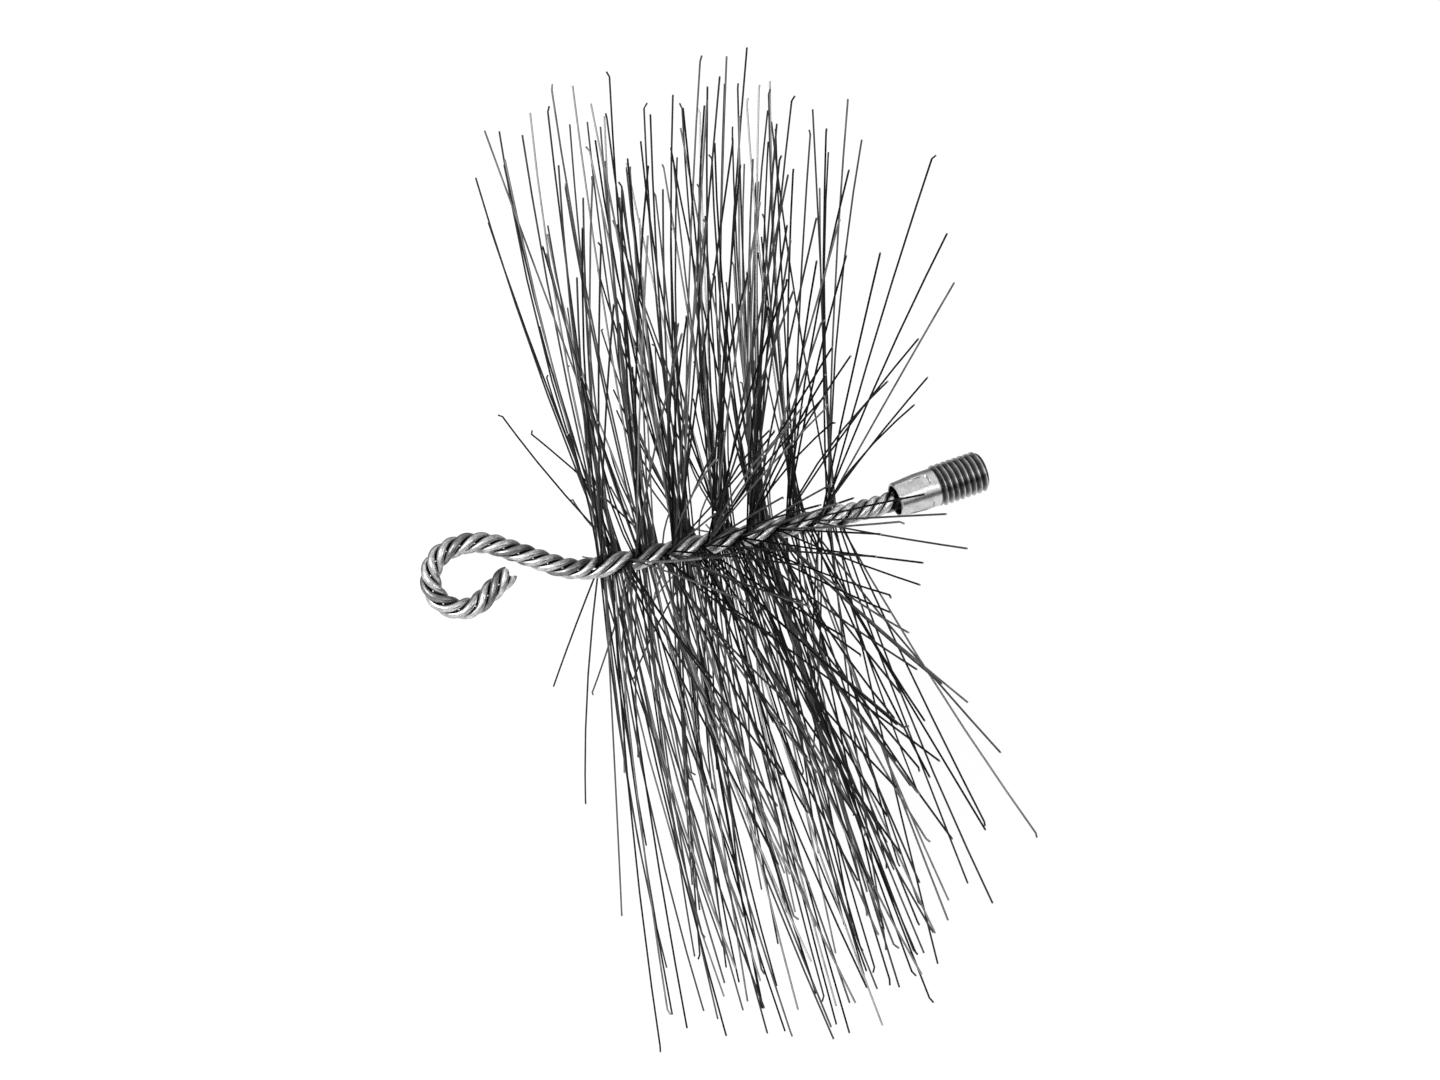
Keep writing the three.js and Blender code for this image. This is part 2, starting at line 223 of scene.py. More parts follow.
def core_wire_point(distance, out_side, over_side):
    point, out, over = twist_at(distance)
    bare = smooth_share(abs(distance) - half_brush, spread_length)
    out_offset = (brush_spacing + bare * (bare_spacing - brush_spacing)) / 2
    over_offset = brush_offset + bare * (bare_spacing / 2 - brush_offset)
    return point + out_side * out_offset * out + over_side * over_offset * over


def ring_matrix(point, direction, reference):
    """A frame at a point, with Z along a direction and X as near as it can be to a reference."""
    side = reference.cross(direction).normalized()
    front = direction.cross(side)
    matrix = Matrix((front, side, direction)).transposed().to_4x4()
    matrix.translation = point
    return matrix


# %% Mesh of a core wire
stations_per_turn = 32
wire_sides = 24
line_step = 0.02 * MM
# Length over which a painted shade darkens the wires in front of the ferrule's mouth.
ferrule_mouth_shade_length = 2.5 * MM


def extrude_ring(mesh, edges, change):
    """Extrudes a ring of edges, moves the new ring by a matrix, and returns its vertices and edges."""
    made = bmesh.ops.extrude_edge_only(mesh, edges=edges)["geom"]
    verts = [item for item in made if isinstance(item, bmesh.types.BMVert)]
    ring = set(verts)
    new_edges = [
        item for item in made
        if isinstance(item, bmesh.types.BMEdge) and item.verts[0] in ring and item.verts[1] in ring
    ]
    bmesh.ops.transform(mesh, matrix=change, verts=verts)
    return verts, new_edges


def core_wire_mesh(out_side, over_side, end_trim):
    mesh = bmesh.new()
    straightened = mesh.verts.layers.float_vector.new("straightened")
    outward = mesh.verts.layers.float.new("outward")
    first = turns_at(eye_end + end_trim)
    last = turns_at(ferrule_end)
    count = round((last - first) * stations_per_turn)
    verts = bmesh.ops.create_circle(mesh, segments=wire_sides, radius=wire_radius)["verts"]
    edges = list(mesh.edges)
    mesh.faces.new(verts)
    before = Matrix.Identity(4)
    travelled = 0
    last_point = None
    for station in range(count + 1):
        distance = distance_at(first + (last - first) * station / count)
        point = core_wire_point(distance, out_side, over_side)
        ahead = core_wire_point(distance + line_step, out_side, over_side)
        here = ring_matrix(point, (ahead - point).normalized(), point - stem_at(distance)[0])
        ferrule_mouth_shade = smooth_share(distance - ferrule_mouth + ferrule_mouth_shade_length, ferrule_mouth_shade_length)
        if station == 0:
            bmesh.ops.transform(mesh, matrix=here, verts=verts)
        else:
            travelled += (point - last_point).length
            verts, edges = extrude_ring(mesh, edges, here @ before.inverted())
        for vert in verts:
            local = here.inverted() @ vert.co
            vert[straightened] = (local.x, local.y, travelled)
            # Painted shade: the grooves and the stretch in front of the ferrule's mouth are marked
            # here for darkening.
            vert[outward] = (1 - ferrule_mouth_shade) * local.x / wire_radius - ferrule_mouth_shade
        before = here
        last_point = point
    bmesh.ops.holes_fill(mesh, edges=edges, sides=wire_sides)
    bmesh.ops.recalc_face_normals(mesh, faces=mesh.faces)
    return mesh


# %% [markdown]
# The four cut ends at the eye were nipped with a cutter. It left each of them slanted, drawn in
# towards the others, and not quite as long as the next. So the last rings are sheared along the wire,
# so that it is longest at the outside, and moved towards the stem's line.

# %% The four core wires
wire_places = [(1, 1), (-1, 1), (-1, -1), (1, -1)]
end_trims = [0.1 * MM, 0.7 * MM, 0.3 * MM, 0.9 * MM]
cut_length = 2.6 * MM
cut_slant = 0.7
drawn_in = 0.1 * MM


def cut_end(mesh, out_side, over_side, end_trim):
    """Slants the cut end of a core wire and draws it in towards the others."""
    straightened = mesh.verts.layers.float_vector["straightened"]
    end = eye_end + end_trim
    middle = core_wire_point(end, out_side, over_side)
    inward = (stem_at(end)[0] - middle).normalized()
    ahead = (core_wire_point(end + line_step, out_side, over_side) - middle).normalized()
    for vert in mesh.verts:
        height, _, travelled = vert[straightened]
        if travelled < cut_length:
            share = (1 - travelled / cut_length) ** 2
            vert.co += share * (cut_slant * (wire_radius - height) * ahead + drawn_in * inward)


def piece_from(mesh, name, smooth=True):
    """Makes an object from a bmesh and frees the bmesh."""
    data = bpy.data.meshes.new(name)
    mesh.to_mesh(data)
    mesh.free()
    if smooth:
        data.shade_smooth()
        data.set_sharp_from_angle(angle=math.radians(40))
    piece = bpy.data.objects.new(name, data)
    bpy.context.scene.collection.objects.link(piece)
    return piece


core_wires = []
for index, (out_side, over_side) in enumerate(wire_places):
    mesh = core_wire_mesh(out_side, over_side, end_trims[index])
    cut_end(mesh, out_side, over_side, end_trims[index])
    core_wires.append(piece_from(mesh, f"twisted_core_wire_{index + 1}"))
print("faces in one core wire:", len(core_wires[0].data.polygons))

# %% [markdown]
# ## The bristle wires
#
# Each bristle is a thin spring-steel wire that passes right through the stem, so it has two ends. The
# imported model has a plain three-sided rod for many of these ends. A rod stops at a small face far
# from the stem, and the long edges that leave this face lead to its root. So the rods give the
# lines of the bristles, and each two rods that leave the stem at one place are one bristle.

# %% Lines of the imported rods
merge_distance = 0.002 * MM
shortest_rod = 60 * MM


def rods_of(node):
    """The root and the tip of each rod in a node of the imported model, in order along the stem."""
    mesh = bmesh.new()
    mesh.from_mesh(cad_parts[node].data)
    bmesh.ops.remove_doubles(mesh, verts=mesh.verts, dist=merge_distance)
    rods = []
    for face in mesh.faces:
        tip = face.calc_center_median()
        if face.calc_perimeter() > shortest_rod or (tip - brush_middle).length < shortest_rod:
            continue
        roots = [
            edge.other_vert(vert).co
            for vert in face.verts
            for edge in vert.link_edges
            if edge.calc_length() > shortest_rod
        ]
        rods.append((sum(roots, Vector()) / len(roots), tip))
    mesh.free()
    return sorted(rods, key=lambda rod: rod[0].dot(stem_along))


def place_of(rod):
    return (rod[0] - brush_middle).dot(stem_along)


# %% [markdown]
# Hundreds of bristles are needed, so one straight template is made, with a few rings along it, and
# added again and again. Its rings are then moved onto the line of each bristle.

# %% Template of a bristle
bristle_radius = 0.27 * MM
bristle_sides = 6
ring_shares = [1.0, 0.988, 0.86, 0.66, 0.42, 0.18, 0.0]
ring_gap = 1 * MM


def bristle_template():
    """A straight tube of rings, one for each point on the line of a bristle, closed at both ends."""
    mesh = bmesh.new()
    verts = bmesh.ops.create_circle(mesh, segments=bristle_sides, radius=bristle_radius)["verts"]
    edges = list(mesh.edges)
    mesh.faces.new(verts)
    step = Matrix.Translation((0, 0, ring_gap))
    for ring in range(2 * len(ring_shares) - 1):
        verts, edges = extrude_ring(mesh, edges, step)
    bmesh.ops.holes_fill(mesh, edges=edges, sides=bristle_sides)
    bmesh.ops.recalc_face_normals(mesh, faces=mesh.faces)
    data = bpy.data.meshes.new("bristle_template")
    mesh.to_mesh(data)
    mesh.free()
    return data


template = bristle_template()
print("faces in one bristle wire:", len(template.polygons))

# %% [markdown]
# A real bristle isn't quite straight. Use has bent it a little, so that its middle stays back towards
# the eye, and it often has a small hook at its cut tip. The draws are seeded, so each run gives the
# same brush. The bristles that the brush stands on end flat on the floor.

# %% Line of a bristle
draw = random.Random(23)
bow_back = 1.2 * MM
bow_spread = 2.4 * MM
hook_spread = 0.7
hook_chance = 0.4
floor_margin = 2 * MM
box_margin = 1 * MM


def triangular():
    return draw.random() + draw.random() - 1


def around(direction):
    """A direction drawn at random from those square to the given one."""
    side_way = direction.orthogonal().normalized()
    return Matrix.Rotation(2 * math.pi * draw.random(), 3, direction) @ side_way


def inside_box_share(root, reach):
    """The share of a bristle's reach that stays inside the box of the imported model."""
    share = 1
    for axis in range(3):
        low = cad_box[0][axis] + (0 if axis == 2 else box_margin)
        high = cad_box[1][axis] - box_margin
        if root[axis] + reach[axis] > high:
            share = min(share, (high - root[axis]) / reach[axis])
        if root[axis] + reach[axis] < low:
            share = min(share, (low - root[axis]) / reach[axis])
    return share


def half_line(root, tip):
    """Points on one half of a bristle, from its tip to its root."""
    reach = (tip - root) * inside_box_share(root, tip - root)
    bow = bow_spread * triangular() * around(reach) - bow_back * stem_along
    points = [root + share * reach + 4 * share * (1 - share) * bow for share in ring_shares]
    if draw.random() < hook_chance and points[0].z > floor_margin:
        hook = hook_spread * draw.random() * (points[0] - points[1]).length
        points[0] += hook * around(reach)
    return points


# %% [markdown]
# The bristles also fan out along the stem. At the eye's end they lean towards the eye, and at the
# other end towards the ferrule. Those that point down stay closer together. A little of each
# bristle's own lean is given up for this, and no bristle leans too far either way.

# %% Fan of the bristles
fan_turn = math.radians(7)
low_fan_share = 0.2
kept_lean_share = 0.8
middle_lean = math.radians(1.5)
most_lean_to_eye = math.radians(25)
most_lean_to_ferrule = math.radians(18)


def fanned_out(root, tip):
    """The tip of a bristle, leaned away from the middle of the brush, up to its limits."""
    reach = tip - root
    lean = math.asin(reach.normalized().dot(stem_along))
    descent = max(-reach.normalized().dot(stem_across), 0)
    free_share = 1 - descent * (1 - low_fan_share)
    outward = middle_lean + fan_turn * place_of((root, tip)) / half_brush
    fanned = kept_lean_share * lean + free_share * outward
    turn = min(max(fanned, -most_lean_to_eye), most_lean_to_ferrule) - lean
    return root + Matrix.Rotation(turn, 3, reach.cross(stem_along)) @ reach


# %% [markdown]
# For one bristle, a copy of the template joins the mesh, and its rings go to their places on the line.
# Two attributes go with it: a shade of its own, because no two wires have quite the same scale on
# them, and whether a ring is at a cut tip.

# %% One bristle
def add_bristle(mesh, pair, sheet):
    """Adds the bristle of two packed rods, in a sheet at a distance from the middle of the layer."""
    halves = []
    for root, tip in pair:
        over = twist_at(place_of((root, tip)))[2]
        halves.append(half_line(root + sheet * over, fanned_out(root, tip)))
    line = halves[0] + halves[1][::-1]
    shade = draw.random()
    mesh.from_mesh(template)
    mesh.verts.ensure_lookup_table()
    new = mesh.verts[-bristle_sides * len(line):]
    for ring, place in enumerate(line):
        before = line[max(ring - 1, 0)]
        after = line[min(ring + 1, len(line) - 1)]
        here = ring_matrix(place, (before - after).normalized(), stem_along)
        base = Matrix.Translation((0, 0, -ring * ring_gap))
        verts = new[bristle_sides * ring:bristle_sides * (ring + 1)]
        bmesh.ops.transform(mesh, matrix=here @ base, verts=verts)
        for vert in verts:
            vert[mesh.verts.layers.float["shade"]] = shade
            vert[mesh.verts.layers.float["tip"]] = 1 if ring in (0, len(line) - 1) else 0


# %% [markdown]
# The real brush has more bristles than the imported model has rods. Another bristle is one of those of
# the model, moved along the stem to a gap between two of them and turned on with the twist. The wires
# lie in two sheets between the core wires, in turns.

# %% Bristle sections
section_count = 4
extra_share = 0.37
extra_jumps = [-3, -2, 2, 3]
extra_turn = math.radians(5)
sheet_offset = 0.2 * MM


def screw(step):
    """Moves a bristle along the stem, and turns it as the twist does, give or take a little."""
    turn = extra_turn * triangular() - 2 * math.pi * step / brush_twist
    away = Matrix.Translation(brush_middle + step * stem_along)
    return away @ Matrix.Rotation(turn, 4, stem_along) @ Matrix.Translation(-brush_middle)


def bristle_section(index):
    mesh = bmesh.new()
    mesh.verts.layers.float.new("shade")
    mesh.verts.layers.float.new("tip")
    rods = rods_of(f"bristles_{index + 1}")
    pairs = list(zip(rods[0::2], rods[1::2]))
    for number, pair in enumerate(pairs):
        add_bristle(mesh, pair, sheet_offset if number % 2 else -sheet_offset)
    for extra in range(round(extra_share * len(pairs))):
        before = min(int((extra + 0.5) / extra_share), len(pairs) - 2)
        place = (place_of(pairs[before][0]) + place_of(pairs[before + 1][0])) / 2
        source = pairs[(before + draw.choice(extra_jumps)) % len(pairs)]
        change = screw(place - place_of(source[0]))
        moved = [(change @ root, change @ tip) for root, tip in source]
        add_bristle(mesh, moved, -sheet_offset if before % 2 else sheet_offset)
    for vert in mesh.verts:
        vert.co.z = max(vert.co.z, 0)
    return piece_from(mesh, f"bristle_wires_{index + 1}")


bristle_sections = [bristle_section(index) for index in range(section_count)]
faces_in_bristles = sum(len(section.data.polygons) for section in bristle_sections)
print("bristle ends:", 2 * faces_in_bristles // len(template.polygons))

# %% [markdown]
# ## The ferrule: its thread
#
# The ferrule is a turned steel sleeve with a coarse thread. A thread is one tooth carried round and
# along at the same time, which is what Spin does when it is given a step along the axis as well as
# an angle. One turn is made, repeated along the axis, and its seams are merged. Two cuts square to
# the axis give it its length.

# %% One tooth of the thread
thread_radius = 6.0 * MM
thread_pitch = 1.75 * MM
thread_depth = 0.947 * MM
tooth_profile = [
    (0.0, 1.0), (0.1, 0.97), (0.2, 0.76), (0.33, 0.42), (0.4, 0.09), (0.44, 0.0),
    (0.52, 0.0), (0.56, 0.09), (0.63, 0.42), (0.76, 0.76), (0.86, 0.97), (1.0, 1.0),
]
thread_sides = 72
lead_turns = 1.5
spare_turns = 2


def spun_tooth():
    mesh = bmesh.new()
    verts = [
        mesh.verts.new((thread_radius - depth * thread_depth, 0, share * thread_pitch))
        for share, depth in tooth_profile
    ]
    edges = [mesh.edges.new(pair) for pair in zip(verts, verts[1:])]
    bmesh.ops.spin(
        mesh, geom=verts + edges, cent=(0, 0, 0), axis=(0, 0, 1), angle=2 * math.pi,
        dvec=(0, 0, thread_pitch / thread_sides), steps=thread_sides,
    )
    return mesh


# %% [markdown]
# Where the thread meets the sleeve, and at the free end, the lathe took its crests off at an angle.
# So each vertex is drawn in to a limit that grows and shrinks along the axis.

# %% Thread
ferrule_length = 27 * MM
sleeve_length = 12.2 * MM
sleeve_radius = 5.43 * MM
thread_start = 11.4 * MM
thread_chamfer = 1.1 * MM
run_out = 0.25 * MM


def thread_limit(height):
    at_sleeve = sleeve_radius - run_out + max(height - sleeve_length + run_out, 0)
    at_end = thread_radius - thread_chamfer + max(ferrule_length - height, 0)
    return min(at_sleeve, at_end, thread_radius)


def thread_mesh():
    mesh = spun_tooth()
    turns = math.ceil((ferrule_length - thread_start) / thread_pitch) + spare_turns
    one_turn = mesh.verts[:] + mesh.edges[:] + mesh.faces[:]
    for turn in range(1, turns):
        copy = bmesh.ops.duplicate(mesh, geom=one_turn)["geom"]
        verts = [item for item in copy if isinstance(item, bmesh.types.BMVert)]
        bmesh.ops.translate(mesh, vec=(0, 0, turn * thread_pitch), verts=verts)
    first = thread_start - lead_turns * thread_pitch
    bmesh.ops.translate(mesh, vec=(0, 0, first), verts=mesh.verts)
    bmesh.ops.remove_doubles(mesh, verts=mesh.verts, dist=merge_distance)
    for height, way in ((thread_start, -1), (ferrule_length, 1)):
        cut = bmesh.ops.bisect_plane(
            mesh, geom=mesh.verts[:] + mesh.edges[:] + mesh.faces[:],
            plane_co=(0, 0, height), plane_no=(0, 0, way), clear_outer=True,
        )["geom_cut"]
        rim = [item for item in cut if isinstance(item, bmesh.types.BMEdge)]
        bmesh.ops.contextual_create(mesh, geom=rim)
    for vert in mesh.verts:
        radius = math.hypot(vert.co.x, vert.co.y)
        limit = thread_limit(vert.co.z)
        if radius > limit:
            vert.co.x *= limit / radius
            vert.co.y *= limit / radius
    bmesh.ops.recalc_face_normals(mesh, faces=mesh.faces)
    return mesh


# %% [markdown]
# ## The ferrule: its sleeve
#
# The sleeve is spun from a profile. Four flats are then pressed into it, as a crimping tool does to
# lock it onto the wires. A flat is where the surface may not stand further out than a plane. That
# plane goes in deeper towards the mouth, and its edges are softened, so that the metal looks pressed
# and not cut.

# %% Sleeve
mouth_radius = 4.95 * MM
mouth_taper = 7 * MM
mouth_round = 0.5 * MM
round_steps = 5
flat_length = 9.9 * MM
flat_depth = 0.5 * MM
flat_slope = math.tan(math.radians(2.6))
flat_half_width = 1.9 * MM
flat_corner = 1 * MM
flat_edge = 0.3 * MM
flat_turns = [math.radians(57 + 90 * step) for step in range(4)]
sleeve_sides = 144
sleeve_rows = 64


def spun_solid(profile, sides):
    """A body of revolution about Z from pairs of radius and height, which end on the axis."""
    mesh = bmesh.new()
    verts = [mesh.verts.new((radius, 0, height)) for radius, height in profile]
    edges = [mesh.edges.new(pair) for pair in zip(verts, verts[1:])]
    bmesh.ops.spin(
        mesh, geom=verts + edges, cent=(0, 0, 0), axis=(0, 0, 1), angle=2 * math.pi,
        steps=sides, use_merge=True,
    )
    bmesh.ops.remove_doubles(mesh, verts=mesh.verts, dist=merge_distance)
    bmesh.ops.recalc_face_normals(mesh, faces=mesh.faces)
    return mesh


def sleeve_profile():
    rounding = [math.radians(90 * step / round_steps) for step in range(1, round_steps + 1)]
    profile = [(0, 0), (mouth_radius - mouth_round, 0)]
    for turn in rounding:
        radius = mouth_radius - mouth_round * (1 - math.sin(turn))
        profile.append((radius, mouth_round * (1 - math.cos(turn))))
    for row in range(1, sleeve_rows + 1):
        height = mouth_round + (sleeve_length - mouth_round) * row / sleeve_rows
        share = min((height - mouth_round) / (mouth_taper - mouth_round), 1)
        profile.append((mouth_radius + share * (sleeve_radius - mouth_radius), height))
    profile.append((0, sleeve_length))
    return profile


def flat_share(height, width):
    """How far a point lies inside the rounded outline of a flat, from 0 to 1 over its edge."""
    over_end = height - (flat_length - flat_corner)
    over_side = abs(width) - (flat_half_width - flat_corner)
    beyond = math.hypot(max(over_end, 0), max(over_side, 0)) if over_end > 0 else max(over_side, 0)
    return smooth_share(flat_corner - beyond, flat_edge)


def press_flats(mesh):
    for vert in mesh.verts:
        for turn in flat_turns:
            toward = Vector((math.cos(turn), math.sin(turn), 0))
            sideways = Vector((-math.sin(turn), math.cos(turn), 0))
            plane = sleeve_radius - flat_depth - flat_slope * (flat_length - vert.co.z)
            excess = vert.co.dot(toward) - plane
            if excess > 0 and vert.co.z < flat_length:
                vert.co -= excess * flat_share(vert.co.z, vert.co.dot(sideways)) * toward


def sleeve_mesh():
    mesh = spun_solid(sleeve_profile(), sleeve_sides)
    press_flats(mesh)
    return mesh


# %% [markdown]
# Thread and sleeve are joined into one body, and the bore is taken out of it, with the Boolean
# modifier. It is applied straight away, so that the piece is one plain closed mesh. The ferrule then
# goes from its own upright frame to its place on the end of the stem.

# %% Ferrule
bore_radius = 3.25 * MM
bore_depth = 22 * MM
bore_point = 1.9 * MM
flare_radius = 4.1 * MM
flare_edge = 0.2 * MM
flare_depth = 4 * MM
cut_overrun = 1 * MM
bore_profile = [
    (0, -cut_overrun), (flare_radius + flare_edge, -cut_overrun), (flare_radius + flare_edge, 0),
    (flare_radius, flare_edge), (bore_radius, flare_depth), (bore_radius, bore_depth),
    (0, bore_depth + bore_point),
]


def combine(piece, other, operation):
    """Applies a Boolean with another object and deletes that object."""
    modifier = piece.modifiers.new("combine", "BOOLEAN")
    modifier.operation = operation
    modifier.solver = "EXACT"
    modifier.object = other
    graph = bpy.context.evaluated_depsgraph_get()
    data = bpy.data.meshes.new_from_object(piece.evaluated_get(graph))
    piece.modifiers.clear()
    piece.data = data
    bpy.data.objects.remove(other)


ferrule = piece_from(sleeve_mesh(), "crimped_threaded_ferrule")
combine(ferrule, piece_from(thread_mesh(), "thread"), "UNION")
combine(ferrule, piece_from(spun_solid(bore_profile, thread_sides), "bore"), "DIFFERENCE")
mouth_point, ferrule_axis, ferrule_normal = stem_at(ferrule_mouth)
ferrule_place = Matrix((ferrule_normal, stem_facing, ferrule_axis)).transposed().to_4x4()
ferrule_place.translation = mouth_point
ferrule.data.transform(ferrule_place)
ferrule.data.shade_smooth()
ferrule.data.set_sharp_from_angle(angle=math.radians(32))
print("faces in the ferrule:", len(ferrule.data.polygons))

# %% [markdown]
# ## Finishes
#
# A small helper adds a node and sets its inputs, so that each material below reads as a list of what
# goes into it.

# %% Helpers for materials
def new_material(name):
    material = bpy.data.materials.new(name)
    material.use_nodes = True
    return material, material.node_tree, material.node_tree.nodes["Principled BSDF"]


def add_node(tree, kind, **inputs):
    node = tree.nodes.new(kind)
    for name, value in inputs.items():
        socket = node.inputs[name.replace("_", " ")]
        if isinstance(value, bpy.types.NodeSocket):
            tree.links.new(value, socket)
        else:
            socket.default_value = value
    return node


def attribute_node(tree, name):
    node = tree.nodes.new("ShaderNodeAttribute")
    node.attribute_name = name
    return node


def noise(tree, place, scale, detail, roughness):
    node = add_node(
        tree, "ShaderNodeTexNoise", Vector=place, Scale=scale, Detail=detail, Roughness=roughness,
    )
    return node.outputs[0]


def ramp(tree, factor, stops):
    """A colour ramp from pairs of a place and a grey."""
    node = tree.nodes.new("ShaderNodeValToRGB")
    elements = node.color_ramp.elements
    while len(elements) < len(stops):
        elements.new(1)
    for element, (place, grey) in zip(elements, stops):
        element.position = place
        element.color = (grey, grey, grey, 1)
    tree.links.new(factor, node.inputs[0])
    return node.outputs[0]


def multiply(tree, one, other):
    node = tree.nodes.new("ShaderNodeMix")
    node.data_type = "RGBA"
    node.blend_type = "MULTIPLY"
    node.inputs[0].default_value = 1
    tree.links.new(one, node.inputs[6])
    tree.links.new(other, node.inputs[7])
    return node.outputs[2]


def larger(tree, one, other):
    node = tree.nodes.new("ShaderNodeMath")
    node.operation = "MAXIMUM"
    tree.links.new(one, node.inputs[0])
    tree.links.new(other, node.inputs[1])
    return node.outputs[0]


def remap(tree, value, low, high, to_low, to_high):
    node = add_node(
        tree, "ShaderNodeMapRange", Value=value, From_Min=low, From_Max=high,
        To_Min=to_low, To_Max=to_high,
    )
    return node.outputs[0]


# %% [markdown]
# The core wires are galvanised: a mottled zinc coat, dull in some patches and bright in others, with
# lines along each wire from the drawing die. The pattern reads the wire's straightened place, with
# its length shortened, so the noise stretches into lines. The grooves get a painted shade, and one
# of the four wires is darker in tone, so each wire has a material with a tone of its own.

# %% Galvanised wire
wire_tones = [0.42, 1.0, 0.9, 1.0]
patch_scale = 900
line_scale = 4200
line_stretch = 0.06
speck_scale = 5200
line_relief = 0.05 * MM


def galvanised_material(number, tone):
    material, tree, surface = new_material(f"galvanised_core_wire_{number}")
    place = attribute_node(tree, "straightened").outputs["Vector"]
    stretched = add_node(tree, "ShaderNodeMapping", Vector=place, Scale=(1, 1, line_stretch))
    patches = noise(tree, place, patch_scale, 4, 0.6)
    lines = noise(tree, stretched.outputs[0], line_scale, 3, 0.7)
    specks = noise(tree, place, speck_scale, 2, 0.5)
    outward = attribute_node(tree, "outward").outputs["Fac"]
    coat = ramp(tree, patches, [(0.34, 0.5 * tone), (0.5, 0.7 * tone), (0.66, 0.9 * tone)])
    drawn = ramp(tree, lines, [(0.35, 0.6), (0.6, 1.0)])
    pits = ramp(tree, specks, [(0.36, 0.4), (0.46, 1.0)])
    # Painted shade: the grooves, and the wires in front of the ferrule's mouth, are darkened in the
    # base colour.
    groove_painted_shade = ramp(tree, remap(tree, outward, -1, 1, 0, 1), [(0.34, 0.06), (0.6, 1.0)])
    colour = multiply(tree, multiply(tree, multiply(tree, coat, drawn), pits), groove_painted_shade)
    tree.links.new(colour, surface.inputs["Base Color"])
    tree.links.new(remap(tree, patches, 0.3, 0.7, 0.42, 0.24), surface.inputs["Roughness"])
    surface.inputs["Metallic"].default_value = 1
    relief = add_node(tree, "ShaderNodeBump", Height=lines, Strength=0.35, Distance=line_relief)
    tree.links.new(relief.outputs[0], surface.inputs["Normal"])
    return material


# %% [markdown]
# The bristles are oil-tempered spring steel, nearly black with a soft shine. Each has its own shade.
# The cut at the tip is clean steel, so it is lighter.

# %% Tempered steel
scale_spots = 260
tip_grey = (0.3, 0.3, 0.3, 1)
dull_shine = (0.25, 0.25, 0.25, 1)


def tempered_material():
    material, tree, surface = new_material("tempered_bristle_steel")
    place = tree.nodes.new("ShaderNodeTexCoord").outputs["Object"]
    scale = noise(tree, place, scale_spots, 3, 0.6)
    shade = attribute_node(tree, "shade").outputs["Fac"]
    tip = attribute_node(tree, "tip").outputs["Fac"]
    own = ramp(tree, shade, [(0.0, 0.01), (0.4, 0.035), (0.7, 0.11), (1.0, 0.4)])
    uneven = ramp(tree, scale, [(0.35, 0.6), (0.65, 1.0)])
    mixed = tree.nodes.new("ShaderNodeMix")
    mixed.data_type = "RGBA"
    mixed.inputs[7].default_value = tip_grey
    tree.links.new(remap(tree, tip, 0.9, 1.0, 0.0, 0.7), mixed.inputs[0])
    tree.links.new(multiply(tree, own, uneven), mixed.inputs[6])
    tree.links.new(mixed.outputs[2], surface.inputs["Base Color"])
    tree.links.new(remap(tree, scale, 0.3, 0.7, 0.32, 0.5), surface.inputs["Roughness"])
    surface.inputs["Metallic"].default_value = 0.8
    surface.inputs["Specular Tint"].default_value = dull_shine
    return material


# %% [markdown]
# The ferrule is zinc plated: bright, with a fine satin grain. On the thread the lathe left marks
# round the axis, so a pattern is turned to the ferrule's own axis with a Mapping node and squeezed
# along it. The distance from this axis tells the crests from the roots of the thread, which get a
# painted shade, and it tells the bore, which gets as dark a painted shade. The sleeve and the flat
# face at the free end stay bright.

# %% Zinc plating
thread_root = thread_radius - thread_depth
# Greys of the painted shade in the roots of the thread and in the bore.
thread_root_shade_tone = 0.05
bore_shade_tone = 0.06
end_edge = 0.2 * MM
mark_scale = 6500
mark_squeeze = 0.06
mark_relief = 0.04 * MM
grain_scale = 3800
grain_relief = 0.03 * MM
stain_scale = 420


